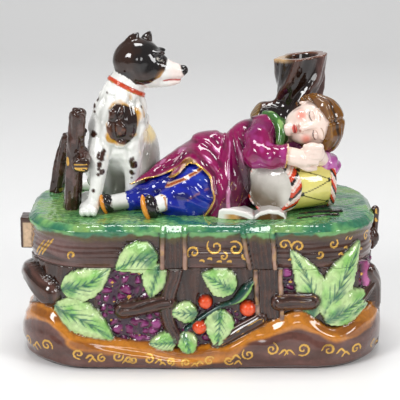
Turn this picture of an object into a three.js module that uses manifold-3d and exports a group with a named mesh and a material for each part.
// Figural lidded box in glazed porcelain. The base is a rounded box of logs, leaves and berries on a
// rocky mound. The lid is a band of bark with a grassy top, where a dog sits by a fence and a boy sleeps
// over a toy drum.
// Millimetres, +Z up. The origin is on the table under the middle of the box, and the front faces -Y.
import * as THREE from "three";
import { mergeVertices } from "three/addons/utils/BufferGeometryUtils.js";
import Module from "manifold-3d";

const wasm = await Module();
wasm.setup();

// The box in plan is a rounded rectangle, and a place on its wall is given by its run along the outline.
const HALF_LENGTH = 89.5;
const HALF_DEPTH = 47.5;
const CORNER_RADIUS = 34;
const WALL_THICKNESS = 5;
const PLAN_SEGMENTS = 40;

// Heights of the base and of the lid that lies on it
const FLOOR_TOP = 6;
const BASE_RIM = 53.4;
const SEAM_GAP = 0.3;
const LID_BOTTOM = BASE_RIM + SEAM_GAP;
const LID_CEILING = 69.5;
const GRASS_EDGE = 72.5;
const GROUND = 76;

// The gallery is the low inner collar that keeps the lid in its place.
const GALLERY_TOP = 57.2;
const GALLERY_THICKNESS = 2.2;
const GALLERY_CLEARANCE = 0.5;

// Crest of the mound around the box, as run and height, from the back by the left end to the back again
const MOUND_CREST = [
  [-245, 20], [-200, 26], [-160, 19], [-122, 22], [-80, 31], [-62, 19], [-30, 14.6], [-10, 10.5], [9, 13.5],
  [30, 24], [50, 31], [68, 21], [86, 27], [122, 30], [160, 20], [200, 25], [245, 20],
];

// Swelling of the mound beyond the wall, as share of the crest's height and outset
const MOUND_SWELL = [[0, 1.8], [0.1, 4.6], [0.42, 6.4], [0.78, 5.2], [1, 2.2]];

const straightRun = HALF_LENGTH - CORNER_RADIUS;
const sideRun = 2 * (HALF_DEPTH - CORNER_RADIUS);
const cornerRun = (Math.PI / 2) * CORNER_RADIUS;
const PERIMETER = 4 * straightRun + 2 * sideRun + 4 * cornerRun;

// Point of the plan at a run from the middle of the front, positive to the right, and an outset from the wall
function planPoint(run, out) {
  const wrapped = run - PERIMETER * Math.round(run / PERIMETER);
  const hand = wrapped < 0 ? -1 : 1;
  let rest = Math.abs(wrapped);
  const reach = CORNER_RADIUS + out;
  const flank = HALF_DEPTH - CORNER_RADIUS;
  if (rest <= straightRun) {
    return [hand * rest, -HALF_DEPTH - out];
  }
  rest -= straightRun;
  if (rest <= cornerRun) {
    const angle = rest / CORNER_RADIUS;
    return [hand * (straightRun + reach * Math.sin(angle)), -flank - reach * Math.cos(angle)];
  }
  rest -= cornerRun;
  if (rest <= sideRun) {
    return [hand * (HALF_LENGTH + out), rest - flank];
  }
  rest -= sideRun;
  if (rest <= cornerRun) {
    const angle = rest / CORNER_RADIUS;
    return [hand * (straightRun + reach * Math.cos(angle)), flank + reach * Math.sin(angle)];
  }
  rest -= cornerRun;
  return [hand * (straightRun - rest), HALF_DEPTH + out];
}

// Value at a place in a list of [place, value] pairs, eased between them
function eased(pairs, place) {
  let index = 1;
  while (index < pairs.length - 1 && pairs[index][0] < place) {
    index += 1;
  }
  const [startPlace, startValue] = pairs[index - 1];
  const [endPlace, endValue] = pairs[index];
  const share = THREE.MathUtils.smoothstep(place, startPlace, endPlace);
  return THREE.MathUtils.lerp(startValue, endValue, share);
}

// Moves every vertex of a geometry by a rule that changes the vector it is given
function reshape(geometry, rule) {
  const position = geometry.getAttribute("position");
  const vertex = new THREE.Vector3();
  for (let index = 0; index < position.count; index += 1) {
    vertex.fromBufferAttribute(position, index);
    rule(vertex);
    position.setXYZ(index, vertex.x, vertex.y, vertex.z);
  }
  return geometry;
}

// Closed solid of a geometry: its seams are welded and the triangles that close to a line are dropped.
function solid(geometry) {
  geometry.deleteAttribute("normal");
  geometry.deleteAttribute("uv");
  const welded = mergeVertices(geometry, 1e-4);
  const corners = welded.getIndex().array;
  const kept = [];
  for (let index = 0; index < corners.length; index += 3) {
    const [a, b, c] = [corners[index], corners[index + 1], corners[index + 2]];
    if (a !== b && b !== c && c !== a) {
      kept.push(a, b, c);
    }
  }
  const vertProperties = new Float32Array(welded.getAttribute("position").array);
  const mesh = new wasm.Mesh({ numProp: 3, vertProperties, triVerts: new Uint32Array(kept) });
  return new wasm.Manifold(mesh);
}

function joined(shapes) {
  return shapes.reduce((whole, shape) => whole.add(shape));
}

// Ring-shaped or solid block of the box's plan. The profile's first number is an outset from the wall, and
// rows more than CORE_DEPTH inside it shrink towards the middle. The rule turns a profile row into its
// outset and height.
const NOMINAL_RADIUS = 60;
const CORE_DEPTH = 20;

function planBlock(profile, rule) {
  const points = profile.map(([out, level]) => new THREE.Vector2(NOMINAL_RADIUS + out, level));
  const geometry = new THREE.LatheGeometry(points, PLAN_SEGMENTS);
  return solid(reshape(geometry, (vertex) => {
    const across = Math.hypot(vertex.x, vertex.z);
    const run = (Math.atan2(vertex.x, vertex.z) / (2 * Math.PI)) * PERIMETER;
    const [out, height] = rule(across - NOMINAL_RADIUS, vertex.y, run);
    const shrink = Math.min(1, across / (NOMINAL_RADIUS - CORE_DEPTH));
    const [x, y] = planPoint(run, Math.max(out, -CORE_DEPTH));
    vertex.set(x * shrink, y * shrink, height);
  }));
}

const plainRow = (out, level) => [out, level];
const AXIS = -NOMINAL_RADIUS;

// A limb is a capsule drawn along a spine of stations [x, y, z, radius], blunt at both ends. Flat makes it
// narrower front to back, and flutes are the folds or bark ridges that run along it with a twist.
function limb(stations, options = {}) {
  const { sides = 6, rings = stations.length - 1, cap = 1, flat = 1 } = options;
  const { flutes = 0, depth = 0.1, twist = 0 } = options;
  const spine = new THREE.CatmullRomCurve3(stations.map(([x, y, z]) => new THREE.Vector3(x, y, z)));
  const last = stations.length - 1;
  const first = new THREE.Vector3(...stations[0]);
  const whole = new THREE.Vector3(...stations[last]).sub(first).normalize();
  const reference = Math.abs(whole.z) > 0.75 ? new THREE.Vector3(0, 1, 0) : new THREE.Vector3(0, 0, 1);
  const reach = 2;
  const bluntness = cap > 1 ? 0.8 : 0.35;
  const capsule = new THREE.CapsuleGeometry(1, 2 * reach, cap, sides, rings);
  const tangent = new THREE.Vector3();
  const centre = new THREE.Vector3();
  return reshape(capsule, (vertex) => {
    const along = THREE.MathUtils.clamp(vertex.y, -reach, reach);
    const beyond = vertex.y - along;
    const share = (along + reach) / (2 * reach);
    const index = Math.min(Math.floor(share * last), last - 1);
    const radius = THREE.MathUtils.lerp(stations[index][3], stations[index + 1][3], share * last - index);
    spine.getPoint(share, centre);
    spine.getTangent(share, tangent);
    const side = new THREE.Vector3().crossVectors(tangent, reference).normalize();
    const up = new THREE.Vector3().crossVectors(side, tangent);
    const angle = Math.atan2(vertex.x, vertex.z);
    const fluted = radius * (1 + depth * (flutes ? Math.cos(flutes * angle + twist * share) : 0));
    const [sideways, upward] = [vertex.x * fluted, vertex.z * fluted];
    const vertical = reference.z === 0;
    vertex.copy(centre);
    vertex.addScaledVector(side, vertical ? sideways : sideways * flat);
    vertex.addScaledVector(up, vertical ? upward * flat : upward);
    vertex.addScaledVector(tangent, beyond * radius * bluntness);
  });
}

const limbSolid = (stations, options) => solid(limb(stations, options));

// A ball with its own three radii, turned in degrees about X, Y and Z, and furrowed like hair if asked
function ball(centre, radii, options = {}) {
  const { turn = [0, 0, 0], sides = 8, rows = 5, furrows = 0, depth = 0.05 } = options;
  const geometry = new THREE.SphereGeometry(1, sides, rows);
  reshape(geometry, (vertex) => {
    const angle = Math.atan2(vertex.z, vertex.x);
    const furrow = 1 + (furrows ? depth * Math.cos(furrows * angle) : 0);
    vertex.set(vertex.x * furrow * radii[0], vertex.z * furrow * radii[1], -vertex.y * radii[2]);
  });
  const [aboutX, aboutY, aboutZ] = turn.map(THREE.MathUtils.degToRad);
  geometry.applyMatrix4(new THREE.Matrix4().makeRotationFromEuler(new THREE.Euler(aboutX, aboutY, aboutZ)));
  return geometry.translate(...centre);
}

const ballSolid = (centre, radii, options) => solid(ball(centre, radii, options));

// Relief is shaped on a flat wall that faces -Y at y = 0, with x as the run, and then laid around the box.
function wrapped(geometry) {
  return solid(reshape(geometry, (vertex) => {
    const [x, y] = planPoint(vertex.x, -vertex.y);
    vertex.set(x, y, vertex.z);
  }));
}

// A leaf is a lens from its stalk to its tip, widest nearer the stalk, with a ridge along its midrib.
const LEAF_THICKNESS = 2.6;

function leaf([stalkRun, stalkHeight, stalkOut], [tipRun, tipHeight, tipOut], width) {
  const along = new THREE.Vector2(tipRun - stalkRun, tipHeight - stalkHeight);
  const across = new THREE.Vector2(-along.y, along.x).normalize();
  const geometry = new THREE.SphereGeometry(1, 4, 5);
  return wrapped(reshape(geometry, (vertex) => {
    const share = (1 - vertex.y) / 2;
    const ring = Math.hypot(vertex.x, vertex.z) || 1;
    const breadth = width * Math.sin(Math.PI * Math.pow(share, 0.75)) * (vertex.x / ring);
    const rounding = Math.sqrt(Math.max(0, 1 - (2 * share - 1) ** 2));
    const swell = LEAF_THICKNESS * rounding * (vertex.z / ring);
    const run = stalkRun + along.x * share + across.x * breadth;
    const height = stalkHeight + along.y * share + across.y * breadth;
    vertex.set(run, -swell - THREE.MathUtils.lerp(stalkOut, tipOut, share), height);
  }));
}

// A strap is an upright board on the wall with rolled edges.
const STRAP_PROUD = 1.6;
const STRAP_ROLL = 1.5;

function strap([topRun, topHeight, topWidth], [footRun, footHeight, footWidth]) {
  const board = new THREE.BoxGeometry(1, 2 * STRAP_PROUD, 1, 2, 1, 1);
  reshape(board, (vertex) => {
    const share = 0.5 - vertex.z;
    const width = THREE.MathUtils.lerp(topWidth, footWidth, share);
    const run = THREE.MathUtils.lerp(topRun, footRun, share) + vertex.x * width;
    vertex.set(run, vertex.y, THREE.MathUtils.lerp(topHeight, footHeight, share));
  });
  const shapes = [wrapped(board)];
  for (const hand of [-0.5, 0.5]) {
    const edge = [
      [topRun + hand * topWidth, -STRAP_PROUD, topHeight, STRAP_ROLL],
      [footRun + hand * footWidth, -STRAP_PROUD, footHeight, STRAP_ROLL],
    ];
    shapes.push(wrapped(limb(edge, { sides: 4 })));
  }
  return joined(shapes);
}

// A log or twig on the wall, through places given as [run, height, outset, radius]
function wallLog(places, options = {}) {
  const stations = places.map(([run, height, out, radius]) => [run, -out, height, radius]);
  return wrapped(limb(stations, { flutes: 3, depth: 0.08, ...options }));
}

function berry(run, height, radius) {
  const proud = 1.6;
  return wrapped(ball([run, -proud, height], [radius, radius, radius], { sides: 6, rows: 4 }));
}

// The body of the base: the mound, the wall and the gallery that stands inside its rim
function mainBlock() {
  const moundRows = MOUND_SWELL.map(([share, out]) => [out, share]);
  const wallFoot = 1.06;
  const rim = 2;
  const above = 3;
  const collar = GALLERY_THICKNESS - WALL_THICKNESS;
  const upper = [[0, wallFoot], [0, rim], [collar, rim], [collar, above], [AXIS, above]];
  return planBlock([[AXIS, 0], ...moundRows, ...upper], (out, level, run) => {
    const crest = eased(MOUND_CREST, run);
    if (level <= 1) {
      return [out, level * crest];
    }
    const wallHeight = crest + (level - 1) * (BASE_RIM - crest);
    return [out, level > rim ? GALLERY_TOP : wallHeight];
  });
}

// The room inside the base, open above
function baseRoom() {
  const inner = -WALL_THICKNESS;
  const top = GALLERY_TOP + 5;
  return planBlock([[AXIS, FLOOR_TOP], [inner, FLOOR_TOP], [inner, top], [AXIS, top]], plainRow);
}

// Leaves that lie over the seam belong to the base below it and to the lid above it.
const LEAVES_OVER_SEAM = [
  [[-22, 36, 1.2], [-33, 66, 1.2], 10.5],
  [[58, 29, 0.6], [47, 64, 0.8], 7.5],
  [[63, 28, 1.4], [82, 66, 1], 9],
];

const BASE_LEAVES = [
  [[-70, 42, 0.6], [-46, 54.5, 0.6], 8.5],
  [[-76, 33, 1.2], [-44, 17, 2.4], 9.5],
  [[-22, 55, 0.8], [-25, 38, 1.4], 6.5],
  [[-2, 31, 1.4], [-17, 31, 1.4], 5.6],
  [[17, 42, 1.8], [1, 51, 1.4], 8],
  [[10, 32, 1.8], [8, 12, 3.2], 7.5],
  [[-12, 16, 2.4], [-27, 15, 3], 6],
  [[-8, 20, 0.8], [-5, 7, 3.9], 5.5],
  [[64, 25, 3], [91, 36, 2], 8.5],
];

const leaves = (places) => places.map(([stalk, tip, width]) => leaf(stalk, tip, width));

// Logs, leaves and berries of the front of the base
function frontRelief() {
  return joined([
    ...leaves(LEAVES_OVER_SEAM),
    ...leaves(BASE_LEAVES),
    wallLog([[-116, 40, 0, 6.2], [-96, 44, 0, 6.4], [-80, 38, 0.3, 7.2]], { cap: 2 }),
    wallLog([[-40, 32, 1.2, 5], [-17, 36, 0.6, 4.6]]),
    wallLog([[-13, 55, 0.6, 4.2], [-18, 31, 0.4, 4], [-13, 15, 0, 3.6]]),
    wallLog([[-3, 27, 2, 1.2], [8, 34, 2.2, 1.3], [18, 37, 2.2, 1.4], [25, 46, 1.8, 2.2]], { sides: 4 }),
    wallLog([[8, 14, 0.5, 4], [30, 27, 0.5, 4]]),
    wallLog([[40, 36, 0.4, 5], [55.5, 37, 1.4, 5]]),
    wallLog([[83, 37, 1, 3.2], [84, 53, 1.4, 2.6]]),
    wallLog([[92, 47, 1, 4.5], [100, 38, 1.4, 5], [104, 26, 1.5, 4.8]]),
    wallLog([[100, 6, 1.6, 4.2], [109, 16, 1.9, 4.6], [113, 27, 1.2, 4]]),
    strap([33.5, 56, 12.5], [35, 26.5, 12.5]),
    berry(2, 36, 3.6),
    berry(-1, 23, 3.9),
    berry(24, 33, 4.2),
  ]);
}

// The back is plainer: logs and leaves of the same kinds.
function backRelief() {
  const shapes = [wallLog([[228, 34, 0.2, 5], [262, 33, 0.2, 5]])];
  for (const hand of [-1, 1]) {
    shapes.push(strap([hand * 168, 56, 12], [hand * 169, 24, 12]));
    shapes.push(leaf([hand * 190, 27, 0.8], [hand * 178, 50, 0.8], 8));
    shapes.push(wallLog([[hand * 142, 50, 0.5, 4.5], [hand * 156, 22, 0.5, 4.5]]));
  }
  return joined(shapes);
}

// The left end of the lid carries an upright board.
function endBoard() {
  const [width, proud, tall] = [12, 6.4, 19.2];
  const board = new THREE.BoxGeometry(width, proud, tall);
  return wrapped(board.translate(-113, -proud / 2, LID_BOTTOM + tall / 2));
}

// The right end carries a round-topped post with a lobe beside it, cut at the seam.
function endPost() {
  return joined([
    wallLog([[119, 34, 0.2, 3.4], [119, 53, 0.4, 4], [119, 75, 0.6, 4.2]], { cap: 2 }),
    wallLog([[111, 50, 0, 3.6], [111, 57, 0.4, 4.4], [111, 64, 0, 3.4]]),
  ]);
}

// The lid's outside: a bark band with a grass edge that rolls over it, and the uneven ground of the top
function groundHeight(x, y) {
  return GROUND + 0.7 * Math.sin(x / 13) * Math.cos(y / 10) - 0.25;
}

function lidBlock() {
  const band = [[-0.2, LID_BOTTOM], [0.7, 59], [0.1, 66], [1.1, GRASS_EDGE]];
  const turf = [[-0.6, 74.8], [-4, GROUND], [-32, GROUND], [AXIS, GROUND]];
  return planBlock([[AXIS, LID_BOTTOM], ...band, ...turf], (out, level, run) => {
    if (level < GROUND) {
      return [out, level];
    }
    const [x, y] = planPoint(run, Math.max(out, -CORE_DEPTH));
    const shrink = Math.min(1, (NOMINAL_RADIUS + out) / (NOMINAL_RADIUS - CORE_DEPTH));
    return [out, groundHeight(x * shrink, y * shrink)];
  });
}

// The lid is hollow: a rebate that clears the gallery, and the room above it.
function lidRoom() {
  const rebate = -WALL_THICKNESS + GALLERY_THICKNESS + GALLERY_CLEARANCE;
  const rebateTop = GALLERY_TOP + GALLERY_CLEARANCE;
  const inner = -WALL_THICKNESS;
  const below = LID_BOTTOM - 5;
  const profile = [
    [AXIS, below], [rebate, below], [rebate, rebateTop], [inner, rebateTop + 0.4],
    [inner, LID_CEILING], [AXIS, LID_CEILING],
  ];
  return planBlock(profile, plainRow);
}

// Boards and leaves of the lid's band
function lidRelief() {
  return joined([
    ...leaves(LEAVES_OVER_SEAM),
    strap([-14, 73.5, 11.5], [-14, 52, 11.5]),
    strap([28, 73.5, 15], [31, 52, 12.5]),
    strap([-168, 73.5, 12], [-168, 52, 12]),
    strap([168, 73.5, 12], [168, 52, 12]),
  ]);
}

// The dog sits upright at the left, its head turned to the right.
function dogHead() {
  const earSides = { sides: 5, flat: 0.6 };
  return joined([
    ballSolid([-33, -8, 152.5], [13.2, 11.8, 12.4], { sides: 9, rows: 6 }),
    ballSolid([-29, -9.5, 145], [9, 9, 5.8], { rows: 4 }),
    limbSolid([[-24, -9, 150, 8], [-16.5, -9, 147.2, 5.6], [-9.5, -9, 146.6, 3.6]]),
    limbSolid([[-25, -9, 143.6, 4.6], [-12.5, -9, 142.9, 2.4]], { sides: 6 }),
    limbSolid([[-37.5, -10, 159, 4.4], [-34.6, -9, 165, 3.2], [-32.7, -8.5, 168.4, 1]], earSides),
    limbSolid([[-30.5, -1, 159, 4.2], [-28.4, -2.5, 164.6, 3], [-27, -3, 167.9, 1]], earSides),
  ]);
}

// The dog's trunk is ruffed all over with locks of hair, row upon row.
function dogBody() {
  const trunk = [
    [-37, -8, 143, 9.6], [-41, -7.5, 134, 12.6], [-43, -6.5, 124, 15.6], [-43, -3.5, 112, 15.8],
    [-43, 6, 98, 14.5], [-43, 10, 82, 13],
  ];
  const [sides, rings] = [10, 7];
  const ruffed = { sides, rings, flutes: sides / 2, depth: 0.08, twist: Math.PI * rings };
  const leaning = { turn: [-14, 0, 0] };
  const leftLeg = [
    [-51.5, -10, 118, 7.6], [-53.6, -18, 102, 5.6], [-56, -20.5, 88, 4], [-58.4, -21.5, 79, 4.2],
  ];
  const rightLeg = [
    [-35, -9, 118, 7.6], [-34.4, -16, 102, 5.4], [-36.6, -18.5, 88, 4], [-37.8, -19.5, 79, 4.2],
  ];
  const paw = { sides: 7, rows: 4 };
  return joined([
    limbSolid(trunk, ruffed),
    ballSolid([-32, 8, 96], [9, 15, 17], leaning),
    ballSolid([-54, 8, 95], [8.6, 14, 16], leaning),
    limbSolid(leftLeg),
    limbSolid(rightLeg),
    ballSolid([-58.8, -24.4, 78.6], [6, 6.6, 4.4], paw),
    ballSolid([-38.4, -22.4, 78.6], [5.4, 6.2, 4.2], paw),
    ballSolid([-61, -2, 79], [4.6, 8.4, 4.6], paw),
    ballSolid([-26, -2, 79], [4.6, 8.4, 4.4], paw),
    limbSolid([[-43, 20, 84, 5], [-50, 27, 79, 4.6], [-62, 28, 78, 3.6], [-70, 22, 78, 1.8]], { sides: 5 }),
  ]);
}

// The rustic fence behind the dog: two posts and two rails of rough branches
function fence() {
  const bark = { sides: 6, rings: 1, flutes: 3, depth: 0.1, twist: 1.5 };
  const thin = { sides: 5, rings: 1 };
  return joined([
    limbSolid([[-69, -16, 74, 4.8], [-66.6, -18, 100, 4.6], [-63.4, -20.5, 127.5, 4.4]], bark),
    limbSolid([[-80, 22, 74, 3.8], [-76, 20, 94, 3.6], [-72.4, 18, 107, 3.2]], bark),
    limbSolid([[-61.5, -27.5, 105, 5], [-63, -10, 105.5, 4.6], [-72, 22, 100, 3.4]], bark),
    limbSolid([[-60.5, -16, 116, 3], [-72, 20, 106, 2.8]], thin),
    limbSolid([[-28, 22, 78.5, 3.2], [-14, 24, 80.5, 3.4]], thin),
  ]);
}

// The tree stump behind the boy, cut off on the slant, with the stub of a branch
function stump() {
  const trunk = [
    [50, 20, 72, 21], [51, 20, 88, 17.5], [52.5, 19, 108, 14.5], [52.5, 19, 128, 12.4],
    [53.2, 19, 140, 13], [53.4, 19, 152, 13.8],
  ];
  const bark = { sides: 11, rings: 5, flat: 0.86, flutes: 4, depth: 0.07, twist: 1.2 };
  const size = 60;
  const slant = THREE.MathUtils.degToRad(-7);
  const sawn = new THREE.BoxGeometry(size, size, size).rotateY(slant).translate(53, 20, 151.6 + size / 2);
  const branch = [[44, 18, 112, 8], [35, 16.5, 120, 6.6], [28.4, 15.5, 125, 4.8]];
  return limbSolid(trunk, bark).subtract(solid(sawn)).add(limbSolid(branch, { flutes: 3, cap: 2 }));
}

// The drum lies on its side between two hoops, its front skin domed and turned towards the viewer.
const DRUM_FRONT = { centre: [36.5, -23.5, 90.6], facing: [-0.5, -0.86, 0.1], radius: 12.6 };
const DRUM_BACK = { centre: [68.2, -7, 90], facing: [-1, -0.12, 0], radius: 12 };
const DRUM_ROWS = [[0, 0.9], [0.13, 0.9], [0.14, 0], [0.87, 0], [0.88, 0.9], [1, 0.9]];
const DRUM_SIDES = 14;
const DRUM_DOME = 3.4;

function drum() {
  const barrel = new THREE.CylinderGeometry(1, 1, 1, DRUM_SIDES, DRUM_ROWS.length - 1);
  const upright = new THREE.Vector3(0, 0, 1);
  const start = new THREE.Vector3(...DRUM_FRONT.centre);
  const end = new THREE.Vector3(...DRUM_BACK.centre);
  const startFacing = new THREE.Vector3(...DRUM_FRONT.facing);
  const endFacing = new THREE.Vector3(...DRUM_BACK.facing);
  return solid(reshape(barrel, (vertex) => {
    const row = Math.round((0.5 - vertex.y) * (DRUM_ROWS.length - 1));
    const [share, proud] = DRUM_ROWS[row];
    const facing = startFacing.clone().lerp(endFacing, share).normalize();
    const side = new THREE.Vector3().crossVectors(facing, upright).normalize();
    const up = new THREE.Vector3().crossVectors(side, facing);
    const radius = THREE.MathUtils.lerp(DRUM_FRONT.radius, DRUM_BACK.radius, share) + proud;
    const onSkin = row === 0 && Math.hypot(vertex.x, vertex.z) < 0.5;
    const [across, along] = [vertex.x * radius, vertex.z * radius];
    vertex.copy(start).lerp(end, share);
    vertex.addScaledVector(side, across).addScaledVector(up, along);
    vertex.addScaledVector(facing, onSkin ? DRUM_DOME : 0);
  }));
}

// The boy lies on his side with bent knees, a long coat over his hips and both arms folded on the drum.
function boyLegs() {
  const trousers = { sides: 8, flutes: 3, depth: 0.05 };
  return joined([
    limbSolid([[2, -10, 99, 11.5], [-6, -19, 90, 11.4], [-14, -25.5, 85.4, 8]], trousers),
    limbSolid([[-14, -25.5, 85, 5.2], [-21, -29.5, 82.8, 4.6], [-25.5, -31.5, 81.8, 4.4]], { sides: 6 }),
    limbSolid([[-4, -4, 97, 10], [-20, -10, 86, 8.6], [-36.5, -14, 81.4, 6.4]], trousers),
    limbSolid([[-36, -14.5, 81, 4.8], [-47.5, -20, 80.4, 4.2]], { sides: 6 }),
  ]);
}

// A shoe stands on its heel with the sole towards the left.
function shoe([x, y, z]) {
  const leaning = { turn: [0, -16, 0], sides: 6, rows: 4 };
  return joined([
    ballSolid([x, y, z], [4, 4.6, 7], leaning),
    ballSolid([x - 2.2, y, z - 0.3], [2.2, 4.9, 7.4], leaning),
  ]);
}

function boyCoat() {
  const folds = { sides: 10, flutes: 4, depth: 0.1, twist: 2.4 };
  const back = { sides: 8, rings: 1 };
  const torso = [[3, -3, 103.5, 11.6], [14, -7, 102, 11], [25, -8, 110.5, 12.4], [33, -8, 114, 10.6]];
  const coatTail = [[6, -3, 104, 11], [-8, -3, 100.4, 8.8], [-24, -7, 91.4, 5.6], [-36.5, -10.5, 86.6, 2.6]];
  return joined([
    limbSolid(torso, folds),
    limbSolid(coatTail, folds),
    limbSolid([[4, -14, 96, 10.5], [6, -20, 84, 9.5], [8, -21, 72, 9.5]], folds),
    limbSolid([[18, -9, 98, 12], [18, -12, 84, 11.5], [18, -13, 70, 11]], folds),
    limbSolid([[4, 2, 96, 12], [16, 4, 72, 13]], back),
    limbSolid([[30, -2, 106, 11], [31, 3, 72, 11]], back),
  ]);
}

function boyArms() {
  const sleeve = { sides: 7, rings: 5, flutes: 3, depth: 0.06, twist: 3 };
  const nearArm = [
    [33.5, -10, 117.4, 8], [29.8, -18, 113.4, 7.8], [29, -24, 107.4, 7.2], [36, -27.5, 107.4, 6.6],
    [43.4, -28, 107, 5],
  ];
  const farArm = [[40, 2, 115, 6.6], [56, 1, 103, 6.8], [66.6, -10, 97.8, 6.8], [61, -20, 106, 5.4]];
  return joined([
    limbSolid(nearArm, sleeve),
    limbSolid([[44, -28, 107, 4.4], [52.5, -27.5, 106, 4.2]]),
    ballSolid([56.8, -26, 108.2], [6, 5, 5.6], { sides: 7 }),
    limbSolid(farArm, { ...sleeve, rings: 4 }),
  ]);
}

// The head lies on the hands with its crown to the right, its hair falling in locks from the parting.
function boyHead() {
  const tilt = { turn: [0, -14, 0] };
  const locks = { ...tilt, sides: 10, rows: 6, furrows: 5, depth: 0.06 };
  return joined([
    limbSolid([[30, -8, 117, 8], [46, -8, 119, 6]]),
    limbSolid([[34.4, -8.4, 116.4, 9.2], [36.8, -8.4, 117, 8.6]], { sides: 8 }),
    ballSolid([58.4, -9.2, 120], [15.4, 12.8, 12.6], { ...tilt, sides: 10, rows: 7 }),
    ballSolid([60.4, -3.2, 121], [14.8, 13.6, 13.8], locks),
    ballSolid([68.6, -8, 121.8], [8, 12.2, 13.4], locks),
    ballSolid([56.2, -21.6, 119.2], [2.6, 2.2, 1.9], { ...tilt, sides: 5, rows: 4 }),
  ]);
}

// The open book lies on the grass before the boy, with arched leaves either side of its spine.
function book() {
  const [front, back] = [-34, -23];
  const [foot, edge, arch] = [74, 77.4, 82.4];
  const halves = [[10.4, 25.8], [25, 41.6]].map(([left, right]) => {
    const half = new THREE.Shape();
    half.moveTo(left, foot);
    half.lineTo(right, foot);
    half.lineTo(right, edge);
    half.quadraticCurveTo((left + right) / 2, arch, left, edge);
    half.closePath();
    const depth = back - front;
    const block = new THREE.ExtrudeGeometry(half, { depth, bevelEnabled: false, curveSegments: 4 });
    return solid(block.rotateX(Math.PI / 2).translate(0, back, 0));
  });
  return joined(halves);
}

function drumsticks() {
  const stick = { sides: 5, rings: 1 };
  return joined([
    limbSolid([[52, -29.5, 76.2, 0.9], [73, -25.5, 76.4, 1.4]], stick),
    limbSolid([[51, -34.5, 76.2, 0.9], [71, -31, 76.2, 1.4]], stick),
  ]);
}

// A half space above or below a level, as a block much larger than the box
function slab(low, high) {
  const reach = 400;
  return solid(new THREE.BoxGeometry(reach, reach, high - low).translate(0, 0, (low + high) / 2));
}

const TALLER_THAN_ALL = 300;

function baseSolid() {
  const relief = joined([frontRelief(), backRelief(), endPost()]);
  return mainBlock().add(relief.intersect(slab(0, BASE_RIM))).subtract(baseRoom());
}

function lidSolid() {
  const relief = joined([lidRelief(), endBoard(), endPost()]);
  const box = lidBlock().add(relief.intersect(slab(LID_BOTTOM, TALLER_THAN_ALL))).subtract(lidRoom());
  const figures = joined([
    dogHead(), dogBody(), fence(), stump(), drum(), boyLegs(), boyCoat(), boyArms(), boyHead(),
    shoe([-26.4, -33, 82.4]), shoe([-49, -21, 81.6]), book(), drumsticks(),
  ]);
  return box.add(figures.intersect(slab(LID_CEILING + 1, TALLER_THAN_ALL)));
}

function meshOf(name, shape, look) {
  const { vertProperties, triVerts } = shape.getMesh();
  const geometry = new THREE.BufferGeometry();
  geometry.setAttribute("position", new THREE.BufferAttribute(vertProperties, 3));
  geometry.setIndex(new THREE.BufferAttribute(triVerts, 1));
  geometry.computeVertexNormals();
  const mesh = new THREE.Mesh(geometry, new THREE.MeshStandardMaterial({ ...look, metalness: 0 }));
  mesh.name = name;
  return mesh;
}

const box = new THREE.Group();
box.add(meshOf("box_base", baseSolid(), { color: 0x6b4326, roughness: 0.16 }));
box.add(meshOf("lid", lidSolid(), { color: 0x6f9a5c, roughness: 0.16 }));

export default box;
